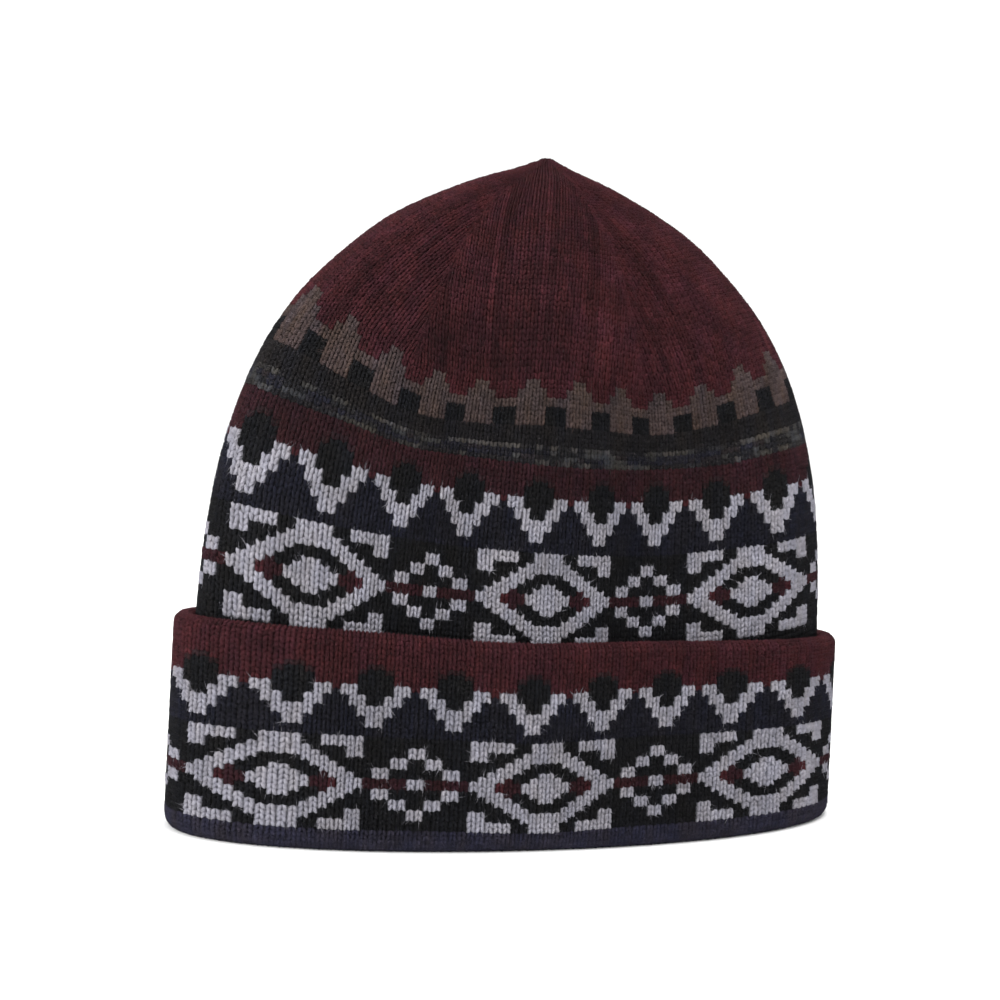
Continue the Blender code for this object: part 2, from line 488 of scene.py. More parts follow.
def plain_chart(rows):
    """A chart from its courses of single yarns."""
    return np.array([[letter] * WALES for letter in rows])


def stamp(chart, top, left, motif, down=1):
    """Repeats a motif round the chart, its first course at top and the next ones down from there."""
    for line, letters in enumerate(motif):
        placed = np.array(list(letters))[(np.arange(WALES) - left) % len(letters)]
        course = top + down * line
        chart[course] = np.where(placed == ".", chart[course], placed)


def cuff_chart():
    """The cuff's yarns, course 0 inside the top edge."""
    chart = plain_chart("m" * 14 + "n" * 10 + "k" * 18 + "b" * 6)
    stamp(chart, CUFF_VEE_TOP, VEE_LEFT, VEE)
    stamp(chart, CUFF_DIAMOND_TOP, DIAMOND_LEFT, DIAMOND)
    return chart


def body_chart():
    """The body's yarns, counted up from the lowest course of the body."""
    chart = plain_chart("k" * 24 + "n" * 10 + "r" * 6 + "hggh" + "m" * 14)
    base = -2 * LOWEST_BODY_ROW
    stamp(chart, base + BODY_DIAMOND_TOP, DIAMOND_LEFT, DIAMOND, down=-1)
    stamp(chart, base + BODY_VEE_TOP, VEE_LEFT, VEE, down=-1)
    place = (np.arange(WALES) + TEETH_TURN) % WALES
    wide = len(TEETH[0])
    column = np.where(place < WIDE_TEETH * wide, place % wide, (place - WIDE_TEETH * wide) % (wide - 1))
    for line, letters in enumerate(TEETH):
        chart[base + TEETH_TOP - line] = np.array(list(letters))[column]
    return chart


def dyes(chart, seed):
    """Linear colours of the charted stitches: its yarn, the heathers in short runs, each a little off."""
    draw = np.random.default_rng(seed)
    colour = np.zeros(chart.shape + (3,))
    for letter, shade in YARNS.items():
        colour[chart == letter] = srgb(shade)
    change = np.cumsum(draw.random(chart.shape) < HEATHER_CHANGE, axis=1)
    for letter, shades in HEATHERS.items():
        pick = draw.integers(0, len(shades), WALES + 1)
        held = chart == letter
        colour[held] = srgb(shades)[pick[change % (WALES + 1)]][held]
    spread = np.where(chart == "w", PALE_SPREAD, DARK_SPREAD)[..., None]
    return colour * (1 + spread * draw.standard_normal(chart.shape + (1,)))


# Meshes


def new_piece(name, points, quads, triangles, materials, corner_dye=None, corner_uv=None, face_slot=None):
    """An object from whole arrays: points, then four-cornered and three-cornered faces."""
    mesh = bpy.data.meshes.new(name)
    corners = np.concatenate([np.reshape(quads, -1), np.reshape(triangles, -1)]).astype(np.int32)
    fours, threes = len(quads), len(triangles)
    starts = np.concatenate([4 * np.arange(fours), 4 * fours + 3 * np.arange(threes)]).astype(np.int32)
    mesh.vertices.add(len(points))
    mesh.vertices.foreach_set("co", points.astype(np.float32).ravel())
    mesh.loops.add(len(corners))
    mesh.loops.foreach_set("vertex_index", corners)
    mesh.polygons.add(len(starts))
    mesh.polygons.foreach_set("loop_start", starts)
    mesh.polygons.foreach_set("use_smooth", np.ones(len(starts), bool))
    if face_slot is not None:
        mesh.polygons.foreach_set("material_index", face_slot.astype(np.int32))
    if corner_uv is not None:
        layer = mesh.uv_layers.new(name="yarn")
        layer.data.foreach_set("uv", corner_uv.astype(np.float32).ravel())
    if corner_dye is not None:
        layer = mesh.color_attributes.new(name="dye", type="FLOAT_COLOR", domain="CORNER")
        opaque = np.concatenate([corner_dye, np.ones((len(corner_dye), 1))], axis=1)
        layer.data.foreach_set("color", opaque.astype(np.float32).ravel())
    for material in materials:
        mesh.materials.append(material)
    mesh.update(calc_edges=True)
    mesh.validate()
    piece = bpy.data.objects.new(name, mesh)
    bpy.context.scene.collection.objects.link(piece)
    return piece


LEG_SIDES = 3
LEG_RINGS = (
    # share along the leg, thickness
    (0.22, 0.97),
    (0.78, 1.00),
)
LEG_FOOT = (0.12, -0.22)  # wales across, courses along
LEG_HEAD = (0.33, 1.20)
LEG_HALF_WIDTH = 0.35  # of a wale
LEG_HALF_HEIGHT = 0.00062
LEG_SUNK = 0.00042  # the legs' middle lines lie this far inside the hat's surface
LEG_FOOT_SUNK = 1.6 * LEG_SUNK  # and their two ends this far
LEG_HEAD_SUNK = 1.3 * LEG_SUNK
SIZE_SPREAD = 0.05  # how far one leg is off in thickness, place across and along, and height
ACROSS_SPREAD = 0.025
ALONG_SPREAD = 0.04
OUT_SPREAD = 0.00006
LEG_DYE_SPREAD = 0.04
PLUMP_RISE = 0.002  # a stitch twice as plump would stand this much higher
FIBRE_LONG = (0.3, 1.0)  # shortest and longest, in stitches
FIBRE_LIFT = 0.0007  # how far the highest tip stands off
FIBRE_RISE = (0.15, 1.0)  # least and most of that, before it is squared
FIBRE_ROOT = -0.0002
FIBRE_CLEAR = 0.0001  # the least that a tip stands off
FIBRE_SPREAD = 0.9  # radians by which fibres stray from the wale
FIBRE_THICK = (0.00004, 0.00009)  # thinnest and thickest
FIBRE_CORNERS = (0.5, 2.594, 4.689)  # radians round the fibre
FIBRE_ASIDE = (0.31, 0.17, 0.93)  # a direction that hardly any fibre follows
FIBRE_SHADE = (1.2, 0.003)  # times the stitch's dye, and plus


def corner_shares(corners):
    """Shares along and round a leg at the corners of a ring of faces."""
    ring = [np.stack([np.full(LEG_SIDES, along), round_share], axis=-1) for along, round_share in corners]
    return np.stack(ring, axis=1)


def leg_template():
    """One leg as a closed spindle: its middle line leans out from foot to head, with rings round it.

    Arrays of across, along and out for each point, the faces, and each corner's share along and round.
    """
    share, thick = np.array(LEG_RINGS).T
    turn = 2 * math.pi * np.arange(LEG_SIDES) / LEG_SIDES + math.pi / 2
    stations = np.concatenate([[0], share, [1]])
    middle = np.array(LEG_FOOT) + np.outer(stations, np.subtract(LEG_HEAD, LEG_FOOT))
    ring_across = middle[1:-1, 0, None] + LEG_HALF_WIDTH * np.outer(thick, np.cos(turn))
    ring_along = np.repeat(middle[1:-1, 1], LEG_SIDES)
    ring_out = LEG_HALF_HEIGHT * np.outer(thick, np.sin(turn)) - LEG_SUNK
    across = np.concatenate([[middle[0, 0]], ring_across.ravel(), [middle[-1, 0]]])
    along = np.concatenate([[middle[0, 1]], ring_along, [middle[-1, 1]]])
    out = np.concatenate([[-LEG_FOOT_SUNK], ring_out.ravel(), [-LEG_HEAD_SUNK]])
    side = np.arange(LEG_SIDES)
    beside = (side + 1) % LEG_SIDES
    rings = len(share)
    lower = 1 + LEG_SIDES * np.arange(rings - 1)[:, None]
    upper = lower + LEG_SIDES
    quads = np.stack([lower + side, lower + beside, upper + beside, upper + side], axis=-1)
    last = 1 + LEG_SIDES * rings
    foot = np.stack([np.zeros_like(side), 1 + beside, 1 + side], axis=-1)
    head = np.stack([np.full_like(side, last), last - LEG_SIDES + side, last - LEG_SIDES + beside], axis=-1)
    round_share = side / LEG_SIDES
    next_share = (side + 1) / LEG_SIDES
    quad_uv = []
    for ring in range(rings - 1):
        low, high = stations[ring + 1], stations[ring + 2]
        corners = [(low, round_share), (low, next_share), (high, next_share), (high, round_share)]
        quad_uv.append(corner_shares(corners))
    foot_uv = [(0, round_share), (stations[1], next_share), (stations[1], round_share)]
    head_uv = [(1, round_share), (stations[-2], round_share), (stations[-2], next_share)]
    tip_uv = [corner_shares(foot_uv), corner_shares(head_uv)]
    return {
        "across": across,
        "along": along,
        "out": out,
        "quads": quads.reshape(-1, 4),
        "triangles": np.concatenate([foot, head]),
        "quad_uv": np.concatenate(quad_uv).reshape(-1, 2),
        "triangle_uv": np.concatenate(tip_uv).reshape(-1, 2),
    }


LEG = leg_template()


def for_each_leg(part, count):
    """One part of the template, copied for the two legs of each stitch."""
    return np.broadcast_to(LEG[part], (count, 2) + LEG[part].shape).copy()


def stitches(name, place, panel, across, row, dye, material, seed, turned, plump=1.0):
    """A mesh of knitted stitches, two mirrored legs each, laid through a surface's own place function.

    A plump stitch is wider, and twice as much longer about its middle, and stands a little higher.
    """
    draw = np.random.default_rng(seed)
    count = len(row)
    side = np.array([-1.0, 1.0])[None, :, None]
    size = 1 + SIZE_SPREAD * draw.standard_normal((count, 2, 1))
    u = side * LEG["across"] * size + ACROSS_SPREAD * draw.standard_normal((count, 2, 1))
    longer = 1 + ALONG_SPREAD * draw.standard_normal((count, 2, 1))
    v = LEG["along"] * longer + ALONG_SPREAD * draw.standard_normal((count, 2, 1))
    v = 0.5 + (v - 0.5) * (2 * plump - 1)
    uneven = OUT_SPREAD * draw.standard_normal((count, 2, 1))
    h = LEG["out"] * plump * size + uneven + PLUMP_RISE * (plump - 1)
    at_across = across[:, None, None] + u * plump
    at_row = row[:, None, None] + COURSE * v
    points = place(np.broadcast_to(panel[:, None, None], at_across.shape), at_across, at_row, h)
    points[..., 2] = np.maximum(points[..., 2], 0.0)
    points = points.reshape(-1, 3)
    first = np.arange(count * 2)[:, None, None] * len(LEG["across"])
    quads = for_each_leg("quads", count)
    threes = for_each_leg("triangles", count)
    flip = 1 if turned > 0 else 0
    quads[:, flip] = quads[:, flip, :, ::-1]
    threes[:, flip] = threes[:, flip, :, ::-1]
    quads = quads.reshape(count * 2, -1, 4) + first
    threes = threes.reshape(count * 2, -1, 3) + first
    shift = draw.random((count * 2, 1, 2)) * [[[1.0, 0.0]]]
    quad_uv = for_each_leg("quad_uv", count).reshape(count, 2, -1, 4, 2)
    three_uv = for_each_leg("triangle_uv", count).reshape(count, 2, -1, 3, 2)
    quad_uv[:, flip] = quad_uv[:, flip, :, ::-1]
    three_uv[:, flip] = three_uv[:, flip, :, ::-1]
    uv = [
        (quad_uv.reshape(count * 2, -1, 2) + shift).reshape(-1, 2),
        (three_uv.reshape(count * 2, -1, 2) + shift).reshape(-1, 2),
    ]
    leg_dye = np.repeat(dye, 2, axis=0) * (1 + LEG_DYE_SPREAD * draw.standard_normal((count * 2, 1)))
    corner_dye = [
        np.repeat(leg_dye, quads.shape[1] * 4, axis=0),
        np.repeat(leg_dye, threes.shape[1] * 3, axis=0),
    ]
    return new_piece(
        name,
        points,
        quads.reshape(-1, 4),
        threes.reshape(-1, 3),
        [material],
        np.clip(np.concatenate(corner_dye), 0, 1),
        np.concatenate(uv),
    )


def fibres(name, place, panel, across, row, dye, material, seed, count):
    """Brushed-up wool: short thin spikes of three sides that rise from random stitches and lean over."""
    draw = np.random.default_rng(seed)
    pick = draw.integers(0, len(row), count)
    panel, dye = panel[pick], dye[pick]
    across = across[pick] + draw.uniform(-0.5, 0.5, count)
    row = row[pick] + draw.uniform(0, COURSE, count)
    heading = math.pi / 2 + draw.normal(0, FIBRE_SPREAD, count)
    long = draw.uniform(*FIBRE_LONG, count) * draw.choice([-1, 1], count)
    lift = FIBRE_LIFT * draw.uniform(*FIBRE_RISE, count) ** 2
    root = place(panel, across, row, np.full(count, FIBRE_ROOT))
    tip = place(panel, across + long * np.cos(heading), row + long * np.sin(heading), lift + FIBRE_CLEAR)
    root[:, 2] = np.maximum(root[:, 2], 0.0)
    tip[:, 2] = np.maximum(tip[:, 2], 0.0)
    along = tip - root
    beside = np.cross(along, FIBRE_ASIDE)
    beside /= np.maximum(np.linalg.norm(beside, axis=1, keepdims=True), TINY)
    above = np.cross(beside, along)
    above /= np.maximum(np.linalg.norm(above, axis=1, keepdims=True), TINY)
    thick = draw.uniform(*FIBRE_THICK, count)[:, None]
    ring = [root + thick * (math.cos(turn) * beside + math.sin(turn) * above) for turn in FIBRE_CORNERS]
    points = np.stack(ring + [tip], axis=1)
    sides = np.array([[0, 3, 1], [1, 3, 2], [2, 3, 0], [0, 1, 2]])
    threes = 4 * np.arange(count)[:, None, None] + sides
    lighter, haze = FIBRE_SHADE
    corner_dye = np.clip(np.repeat(dye, sides.size, axis=0) * lighter + haze, 0, 1)
    return new_piece(
        name, points.reshape(-1, 3), np.zeros((0, 4), int), threes.reshape(-1, 3), [material], corner_dye
    )


# Materials


def nodes_for(name):
    material = bpy.data.materials.new(name)
    material.use_nodes = True
    tree = material.node_tree
    return material, tree, tree.nodes["Principled BSDF"]


def add_node(tree, kind, links=None, **settings):
    """A node with its settings, and its inputs set to values or joined to other nodes' outputs."""
    node = tree.nodes.new(kind)
    for key, value in settings.items():
        setattr(node, key, value)
    for key, value in (links or {}).items():
        if isinstance(value, bpy.types.NodeSocket):
            tree.links.new(value, node.inputs[key])
        else:
            node.inputs[key].default_value = value
    return node


def wool(name, fleck, fleck_share, sheen, tinted=1.0, clouded=0.2):
    """Brushed wool: the stitch's dye, mottled and flecked with lighter fibres, bumped by its twist.

    Its numbers are the flecks' display colour and how far they cover, the weight of the sheen, and how far
    the hue and the broad light and dark wander.
    """
    material, tree, shader = nodes_for(name)
    dye = add_node(tree, "ShaderNodeAttribute", attribute_name="dye")
    place = add_node(tree, "ShaderNodeTexCoord").outputs["Object"]
    along = add_node(tree, "ShaderNodeUVMap", uv_map="yarn").outputs["UV"]
    mottle = add_node(tree, "ShaderNodeTexNoise", {"Vector": place, "Scale": 700.0, "Detail": 4.0})
    cloud = add_node(tree, "ShaderNodeTexNoise", {"Vector": place, "Scale": 90.0, "Detail": 2.0})
    hairs = add_node(tree, "ShaderNodeTexNoise", {"Vector": place, "Scale": 2600.0, "Detail": 3.0})
    stretched = add_node(tree, "ShaderNodeMapping", {"Vector": along, "Scale": (2.0, 3.0, 1.0)})
    twist = add_node(
        tree,
        "ShaderNodeTexWave",
        {"Vector": stretched.outputs["Vector"], "Scale": 1.0, "Distortion": 3.0, "Detail": 2.0},
        bands_direction="DIAGONAL",
    )
    streaks = add_node(tree, "ShaderNodeMapping", {"Vector": place, "Scale": (1.0, 1.0, 0.3)})
    hue = add_node(
        tree, "ShaderNodeTexNoise", {"Vector": streaks.outputs[0], "Scale": 210.0, "Detail": 3.0}
    )
    hue_share = add_node(tree, "ShaderNodeMapRange", {"Value": hue.outputs["Fac"], 1: 0.35, 2: 0.65})
    tint = add_node(
        tree,
        "ShaderNodeMix",
        {
            "Factor": hue_share.outputs[0],
            6: (1 - 0.10 * tinted, 1 - 0.03 * tinted, 1 + 0.14 * tinted, 1.0),
            7: (1 + 0.10 * tinted, 1 + 0.03 * tinted, 1 - 0.10 * tinted, 1.0),
        },
        data_type="RGBA",
    )
    dyed = add_node(
        tree, "ShaderNodeVectorMath", {0: dye.outputs["Color"], 1: tint.outputs[2]}, operation="MULTIPLY"
    )
    tone = add_node(tree, "ShaderNodeMapRange", {"Value": mottle.outputs["Fac"], 3: 0.55, 4: 1.5})
    broad = add_node(
        tree,
        "ShaderNodeMapRange",
        {"Value": cloud.outputs["Fac"], 1: 0.25, 2: 0.75, 3: 1 - clouded, 4: 1 + clouded},
    )
    both = add_node(tree, "ShaderNodeMath", {0: tone.outputs[0], 1: broad.outputs[0]}, operation="MULTIPLY")
    shaded = add_node(
        tree,
        "ShaderNodeVectorMath",
        {0: dyed.outputs["Vector"], "Scale": both.outputs[0]},
        operation="SCALE",
    )
    spots = add_node(
        tree,
        "ShaderNodeMapRange",
        {"Value": hairs.outputs["Fac"], 1: 0.56, 2: 0.72, 3: 0.0, 4: fleck_share},
    )
    mixed = add_node(
        tree,
        "ShaderNodeMix",
        {"Factor": spots.outputs[0], 6: shaded.outputs["Vector"], 7: tuple(srgb(fleck)) + (1.0,)},
        data_type="RGBA",
    )
    tree.links.new(mixed.outputs[2], shader.inputs["Base Color"])
    height = add_node(
        tree,
        "ShaderNodeMath",
        {0: twist.outputs["Fac"], 1: hairs.outputs["Fac"]},
        operation="ADD",
    )
    bump = add_node(
        tree, "ShaderNodeBump", {"Height": height.outputs[0], "Strength": 0.7, "Distance": 0.0003}
    )
    tree.links.new(bump.outputs["Normal"], shader.inputs["Normal"])
    shader.inputs["Roughness"].default_value = 0.95
    shader.inputs["Specular IOR Level"].default_value = 0.15
    shader.inputs["Sheen Weight"].default_value = sheen
    shader.inputs["Sheen Roughness"].default_value = 0.5
    shader.inputs["Sheen Tint"].default_value = tuple(srgb(fleck)) + (1.0,)
    return material


def fibre_wool(name):
    """The fibres take the stitch's dye, and nothing else."""
    material, tree, shader = nodes_for(name)
    dye = add_node(tree, "ShaderNodeAttribute", attribute_name="dye")
    tree.links.new(dye.outputs["Color"], shader.inputs["Base Color"])
    shader.inputs["Roughness"].default_value = 0.9
    shader.inputs["Specular IOR Level"].default_value = 0.2
    return material


def floats(name):
    """The wrong side of the knit: strands of both yarns that run across behind the stitches."""
    material, tree, shader = nodes_for(name)
    place = add_node(tree, "ShaderNodeTexCoord").outputs["Object"]
    dye = add_node(tree, "ShaderNodeAttribute", attribute_name="dye")
    strands = add_node(
        tree,
        "ShaderNodeTexWave",
        {"Vector": place, "Scale": 52.0, "Distortion": 2.0, "Detail": 3.0, "Detail Scale": 4.0},
        bands_direction="Z",
    )
    tone = add_node(tree, "ShaderNodeMapRange", {"Value": strands.outputs["Fac"], 3: 0.5, 4: 1.6})
    shaded = add_node(
        tree, "ShaderNodeVectorMath", {0: dye.outputs["Color"], "Scale": tone.outputs[0]}, operation="SCALE"
    )
    tree.links.new(shaded.outputs["Vector"], shader.inputs["Base Color"])
    bump = add_node(
        tree, "ShaderNodeBump", {"Height": strands.outputs["Fac"], "Strength": 0.8, "Distance": 0.0006}
    )
    tree.links.new(bump.outputs["Normal"], shader.inputs["Normal"])
    shader.inputs["Roughness"].default_value = 0.95
    shader.inputs["Specular IOR Level"].default_value = 0.15
    return material


# The walls behind the stitches

WALL_INSET = 0.0008  # the walls lie this far inside the hat's surface, under the stitches
INSET_ROWS = 3  # rows over which that dies out towards the strip on the floor
POINT_WALL = 1.3 * BODY_WALL  # how deep the inside's point lies below the outside's
UNDER_STEPS = 9  # rings from the strip to the cuff's inner edge
WALL_PAINTED_SHADE = 0.75  # painted shade: the walls, seen between the stitches, are this much darker
# painted shade: the fans at the wall's gathered point are this much darker
POINT_PAINTED_SHADE = 0.6


def body_wall(chart_dye, outside, inside):
    """The body's wall: a grid of wales and rows outside, one a wall's thickness inside it, joined below.

    Each grid closes in one point at the top.
    """
    rows = np.concatenate([TABLE_ROWS[:1], np.arange(LOWEST_BODY_ROW, TOP_ROW - 1, 1.0)])
    wale = np.arange(WALES, dtype=float)
    angle = wale_angle(np.broadcast_to(wale, (len(rows), WALES)), BODY_WALES)
    length = body_length(angle, rows[:, None])
    skins = [
        off_surface(body_surface, angle, length, np.full(angle.shape, -depth), -1)
        for depth in (WALL_INSET, BODY_WALL)
    ]
    poles = [[0, 0, HAT_HEIGHT - WALL_INSET], [0, 0, HAT_HEIGHT - POINT_WALL]]
    points = np.concatenate([skins[0].reshape(-1, 3), skins[1].reshape(-1, 3), poles])
    column = np.arange(WALES)
    beside = (column + 1) % WALES
    lower = WALES * np.arange(len(rows) - 1)[:, None]
    upper = lower + WALES
    inner = len(rows) * WALES
    out_quads = np.stack([lower + column, upper + column, upper + beside, lower + beside], axis=-1)
    in_quads = out_quads[..., ::-1] + inner
    rim = np.stack([column, beside, beside + inner, column + inner], axis=-1)
    quads = np.concatenate([out_quads.reshape(-1, 4), in_quads.reshape(-1, 4), rim])
    last = inner - WALES
    out_pole = np.full(WALES, 2 * inner)
    out_top = np.stack([last + column, out_pole, last + beside], axis=-1)
    in_top = np.stack([last + inner + beside, out_pole + 1, last + inner + column], axis=-1)
    maroon = np.broadcast_to(srgb(YARNS["m"]), (WALES, 3))
    chart_dye = chart_dye[::2]
    face_dye = [chart_dye[0]] + list(chart_dye) + [maroon] * (len(rows) - 2 - len(chart_dye))
    # painted shade: the wall is darkened where it shows between the stitches
    face_dye = np.concatenate(face_dye) * WALL_PAINTED_SHADE
    quad_dye_and_shade = np.repeat(np.concatenate([face_dye, face_dye, maroon]), 4, axis=0)
    # painted shade: maroon darkened at the gathered point, outside and inside
    point_dye_and_shade = np.repeat(np.concatenate([maroon, maroon]) * POINT_PAINTED_SHADE, 3, axis=0)
    dye = np.concatenate([quad_dye_and_shade, point_dye_and_shade])
    slots = np.zeros(len(quads) + 2 * WALES)
    slots[len(face_dye) : 2 * len(face_dye)] = 1
    slots[-WALES:] = 1
    return new_piece(
        "body_wall", points, quads, np.concatenate([out_top, in_top]), [outside, inside], dye, None, slots
    )


def cuff_wall(chart_dye, outside, inside):
    """The cuff's wall: its path pulled in under the stitches, closed by the trough that holds the body."""
    path_rows = np.arange(0, CUFF_ROWS + 1, COURSE)
    angle = wale_angle(np.arange(WALES, dtype=float), CUFF_WALES)[None, :]
    length = cuff_length(angle, path_rows[:, None])
    angle = np.broadcast_to(angle, length.shape)
    inset = WALL_INSET * np.clip((CUFF_ROWS - path_rows) / INSET_ROWS, 0, 1)[:, None]
    worn = off_surface(cuff_surface, angle, length, -np.broadcast_to(inset, length.shape), 1)
    tail = np.linspace(ROUND_LENGTH, CUFF_PATH[0, -1], UNDER_STEPS)[1:]
    under = cuff_surface(angle[: len(tail)], np.broadcast_to(tail[:, None], (len(tail), WALES)))
    trough_x, trough_y = off_ellipse(angle[0], KNIT_GAP)
    trough = np.stack([trough_x, trough_y, np.full(WALES, FOLD_WALL)], axis=-1)[None]
    points = np.concatenate([worn, under, trough])
    points[..., 2] = np.maximum(points[..., 2], 0.0)
    rings = len(points)
    column = np.arange(WALES)
    beside = (column + 1) % WALES
    lower = np.arange(rings)[:, None] * WALES
    upper = (lower + WALES) % (rings * WALES)
    quads = np.stack([lower + column, lower + beside, upper + beside, upper + column], axis=-1)
    hem = np.broadcast_to(chart_dye[-1], (rings - len(chart_dye), WALES, 3))
    face_dye = np.concatenate([chart_dye, hem])
    # painted shade: the wall is darkened where it shows between the stitches
    dye = np.repeat(face_dye.reshape(-1, 3) * WALL_PAINTED_SHADE, 4, axis=0)
    slots = np.zeros((rings, WALES))
    slots[len(path_rows) :] = 1
    return new_piece(
        "cuff_wall",
        points.reshape(-1, 3),
        quads.reshape(-1, 4),
        np.zeros((0, 3), int),
        [outside, inside],
        dye,
        None,
        slots.ravel(),
    )


# The hat


def chart_cells(rows):
    """The course and the wale of every stitch in so many rows, as two flat arrays."""
    course, wale = np.meshgrid(np.arange(round(rows / COURSE)), np.arange(WALES), indexing="ij")
    return course.ravel(), wale.ravel()


def cuff_cells():
    """Every stitch of the cuff: panel, across and row, with its place in the chart."""
    course, wale = chart_cells(CUFF_ROWS)
    return np.zeros(len(course)), wale + 0.5, COURSE * course, course, wale


def body_cells():
    """Every stitch of the body that shows above the cuff, up to the plain crown."""
    course, wale = chart_cells(BAND_TOP - LOWEST_BODY_ROW)
    row = LOWEST_BODY_ROW + COURSE * course
    panel = FIRST_LINE + PANEL_WALES / 2 + PANEL_WALES * ((wale - FIRST_LINE) // PANEL_WALES)
    across = wale + 0.5 - panel
    top = body_at(panel, across, row + COURSE, np.zeros(len(row)))
    shown = top[:, 2] > CUFF_HEIGHT - CUFF_TILT - HIDDEN_BELOW
    return panel[shown], across[shown], row[shown], course[shown], wale[shown]


def crown_cells():
    """Every stitch of the plain crown: each course of a wedge is its middle wales, two fewer now and then.

    One more wale runs up each line of decreases.
    """
    panels, acrosses, rows = [], [], []
    for row in np.arange(BAND_TOP, TOP_ROW, COURSE):
        half = max(1, round(float(panel_stitches(row + COURSE / 2)) / 2))
        across = np.arange(-half, half) + 0.5
        for panel in range(PANELS):
            panels.append(np.full(2 * half, FIRST_LINE + PANEL_WALES * (panel + 0.5)))
            acrosses.append(across)
            rows.append(np.full(2 * half, row))
            panels.append(np.array([FIRST_LINE + PANEL_WALES * panel]))
            acrosses.append(np.zeros(1))
            rows.append(np.array([row]))
    return np.concatenate(panels), np.concatenate(acrosses), np.concatenate(rows)


def patch_darkening(panel, across, row):
    """How light each crown stitch is: darker in two soft patches, by bell shapes."""
    place = body_at(panel, across, row + COURSE, np.zeros(len(row)))
    light = np.ones(len(row))
    for patch, reach, depth in DARK_PATCHES:
        light -= depth * np.exp(-((np.linalg.norm(place - patch, axis=1) / reach) ** 2))
    return light[:, None]


CUFF_GROUPS = (
    # piece, yarns, plumpness
    ("cuff_pale_stitches", "w", 1.04),
    ("cuff_dark_stitches", "knb", 1.0),
    ("cuff_maroon_stitches", "mqr", 1.0),
)
BODY_GROUPS = (
    ("body_pale_stitches", "w", 1.04),
    ("body_dark_stitches", "knd", 1.0),
    ("body_burgundy_stitches", "rmq", 1.0),
    ("body_heather_stitches", "thg", 1.0),
)
CUFF_FIBRES = 34000
BODY_FIBRES = 30000
CROWN_FIBRES = 18000

# Seeds of the random draws.
CUFF_DYE_SEED, CUFF_STITCH_SEED, CUFF_FIBRE_SEED = 11, 20, 31
BODY_DYE_SEED, BODY_STITCH_SEED, BODY_FIBRE_SEED = 12, 40, 51
CROWN_DYE_SEED, CROWN_STITCH_SEED, CROWN_FIBRE_SEED = 60, 61, 62


def lay_yarns(groups, place, cells, chart, dye, materials, seed, turned):
    """A mesh of stitches for each group of yarns, its stitches picked from the chart."""
    panel, across, row, course, wale = cells
    letter, shade = chart[course, wale], dye[course, wale]
    pieces = []
    for step, (name, letters, plump) in enumerate(groups):
        held = np.isin(letter, list(letters))
        pieces.append(
            stitches(
                name,
                place,
                panel[held],
                across[held],
                row[held],
                shade[held],
                materials[letters[0]],
                seed + step,
                turned,
                plump,
            )
        )
    return pieces


def knit_cuff(materials, hair, wrong_side):
    """The cuff's wall, stitches and fibres."""
    chart = cuff_chart()
    dye = dyes(chart, CUFF_DYE_SEED)
    cells = cuff_cells()
    panel, across, row, course, wale = cells
    shade = dye[course, wale]
    return [
        cuff_wall(dye, materials["k"], wrong_side),
        *lay_yarns(CUFF_GROUPS, cuff_at, cells, chart, dye, materials, CUFF_STITCH_SEED, 1),
        fibres("cuff_fibres", cuff_at, panel, across, row, shade, hair, CUFF_FIBRE_SEED, CUFF_FIBRES),
    ]


def knit_body(materials, hair, wrong_side):
    """The body's wall, and the stitches and fibres of its bands and of the plain crown."""
    chart = body_chart()
    dye = dyes(chart, BODY_DYE_SEED)
    cells = body_cells()
    panel, across, row, course, wale = cells
    shade = dye[course, wale]
    pieces = [
        body_wall(dye, materials["k"], wrong_side),
        *lay_yarns(BODY_GROUPS, body_at, cells, chart, dye, materials, BODY_STITCH_SEED, -1),
        fibres("body_fibres", body_at, panel, across, row, shade, hair, BODY_FIBRE_SEED, BODY_FIBRES),
    ]
    panel, across, row = crown_cells()
    draw = np.random.default_rng(CROWN_DYE_SEED)
    crown_wale = np.floor(panel + across).astype(int) % WALES
    streak = 1 + STREAK_SPREAD * draw.standard_normal(WALES)[crown_wale, None]
    shade = srgb(YARNS["m"]) * (1 + CROWN_SPREAD * draw.standard_normal((len(row), 1))) * streak
    shade = np.clip(shade * patch_darkening(panel, across, row), 0, 1)
    place = body_at, panel, across, row
    pieces.append(stitches("crown_stitches", *place, shade, materials["m"], CROWN_STITCH_SEED, -1))
    pieces.append(fibres("crown_fibres", *place, shade, hair, CROWN_FIBRE_SEED, CROWN_FIBRES))
    return pieces


def knit_hat():
    """Lays the walls, the stitches of each yarn and the loose fibres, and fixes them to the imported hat."""
    pale = wool("pale_wool", (172, 170, 180), fleck_share=0.30, sheen=0.08, tinted=0.25)
    dark = wool("dark_wool", (46, 44, 55), fleck_share=0.18, sheen=0.04)
    maroon = wool("maroon_wool", (98, 46, 53), fleck_share=0.30, sheen=0.22, clouded=0.4)
    mixed = wool("heather_wool", (104, 97, 94), fleck_share=0.40, sheen=0.06, clouded=0.3)
    hair = fibre_wool("loose_fibres")
    wrong_side = floats("wrong_side")
    materials = {"w": pale, "k": dark, "m": maroon, "r": maroon, "t": mixed}
    for piece in knit_cuff(materials, hair, wrong_side):
        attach(piece, "root")
        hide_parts("cuff")
    for piece in knit_body(materials, hair, wrong_side):
        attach(piece, "root")
        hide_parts("crown")


# The studio

FLOOR_INNER_RING = 0.4
FLOOR_RADIUS = 1.6
FLOOR_SIDES = 96
SWEEP_RADIUS = 1.2
SWEEP_STEPS = 17
SWEEP_TOP = 3.0


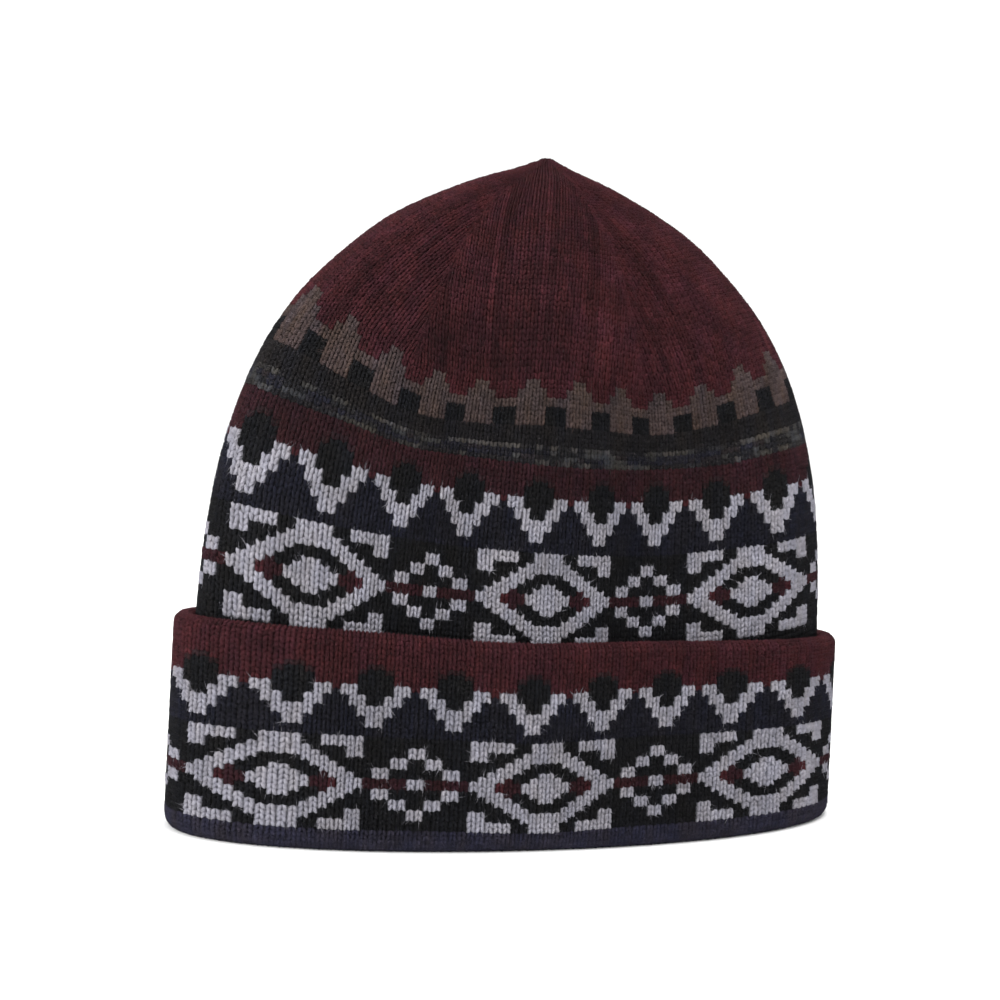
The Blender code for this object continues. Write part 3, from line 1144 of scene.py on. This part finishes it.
def studio():
    """A pale round floor that sweeps up into a wall: a profile turned about the vertical."""
    turn = np.linspace(0, math.pi / 2, SWEEP_STEPS)
    sweep = FLOOR_RADIUS + SWEEP_RADIUS * np.sin(turn)
    reach = np.concatenate([[FLOOR_INNER_RING], sweep, [FLOOR_RADIUS + SWEEP_RADIUS]])
    height = np.concatenate([[0], SWEEP_RADIUS * (1 - np.cos(turn)), [SWEEP_TOP]])
    angle = np.linspace(0, 2 * math.pi, FLOOR_SIDES, endpoint=False)
    x, y = np.multiply.outer(reach, np.cos(angle)), np.multiply.outer(reach, np.sin(angle))
    points = np.stack([x, y, np.broadcast_to(height[:, None], x.shape)], axis=-1).reshape(-1, 3)
    points = np.vstack([points, [0, 0, 0]])
    column = np.arange(FLOOR_SIDES)
    beside = (column + 1) % FLOOR_SIDES
    lower = FLOOR_SIDES * np.arange(len(reach) - 1)[:, None]
    upper = lower + FLOOR_SIDES
    quads = np.stack([lower + column, lower + beside, upper + beside, upper + column], axis=-1)
    middle = np.stack([np.full(FLOOR_SIDES, len(points) - 1), column, beside], axis=-1)
    material, _, shader = nodes_for("pale_floor")
    shader.inputs["Base Color"].default_value = (0.92, 0.92, 0.92, 1.0)
    shader.inputs["Roughness"].default_value = 0.9
    floor = new_piece("studio_floor", points, quads[..., ::-1].reshape(-1, 4), middle, [material])


def soft_light(name, place, aim, size, power):
    light = bpy.data.lights.new(name, "AREA")
    light.shape = "DISK"
    light.size = size
    light.energy = power
    holder = bpy.data.objects.new(name, light)
    holder.location = place
    holder.rotation_euler = (Vector(aim) - Vector(place)).to_track_quat("-Z", "Y").to_euler()
    bpy.context.scene.collection.objects.link(holder)


def lights():
    """Even light from a white sky, with large soft lamps above, before and beside the hat.

    The view transform is the plain one, which keeps the yarns' display colours and a white floor.
    """
    world = bpy.data.worlds.new("studio_sky")
    world.use_nodes = True
    background = world.node_tree.nodes["Background"]
    background.inputs["Color"].default_value = (1.0, 1.0, 1.0, 1.0)
    background.inputs["Strength"].default_value = 1.0
    bpy.context.scene.world = world
    bpy.context.scene.view_settings.view_transform = "Standard"
    middle = (0, 0, HAT_HEIGHT / 2)
    soft_light("key_lamp", (-1.0, -1.2, 1.1), middle, 1.0, 20)
    soft_light("side_lamp", (-1.4, -0.1, 0.5), middle, 0.8, 7)
    soft_light("top_lamp", (0.1, -0.3, 1.7), middle, 0.8, 12)
    soft_light("back_lamp", (0.5, 1.3, 1.0), middle, 1.0, 14)


CAMERA_PLACE = (-0.1818, -0.4925, 0.1181)
CAMERA_YAW = math.radians(20.263)
CAMERA_ROLL = math.radians(2.877)
CAMERA_LENS = 59.23
IMAGE_SIZE = 1000
OPTICAL_CENTRE = (532.98, 445.20)


def camera():
    """The photograph's camera: level, nearer to the hat's left side, and turned a little about its axis."""
    right = Vector((math.cos(CAMERA_YAW), -math.sin(CAMERA_YAW), 0))
    ahead = Vector((math.sin(CAMERA_YAW), math.cos(CAMERA_YAW), 0))
    up = Vector((0, 0, 1))
    image_right = math.cos(CAMERA_ROLL) * right + math.sin(CAMERA_ROLL) * up
    image_up = math.cos(CAMERA_ROLL) * up - math.sin(CAMERA_ROLL) * right
    view = bpy.data.cameras.new("photo_camera")
    view.lens = CAMERA_LENS
    view.sensor_width = 36
    view.shift_x = (IMAGE_SIZE / 2 - OPTICAL_CENTRE[0]) / IMAGE_SIZE
    view.shift_y = (OPTICAL_CENTRE[1] - IMAGE_SIZE / 2) / IMAGE_SIZE
    view.clip_start = 0.01
    holder = bpy.data.objects.new("photo_camera", view)
    turned = Matrix((image_right, image_up, -ahead)).transposed().to_4x4()
    holder.matrix_world = Matrix.Translation(CAMERA_PLACE) @ turned
    bpy.context.scene.collection.objects.link(holder)
    bpy.context.scene.camera = holder


camera()
lights()
studio()
knit_hat()

bpy.context.view_layer.update()
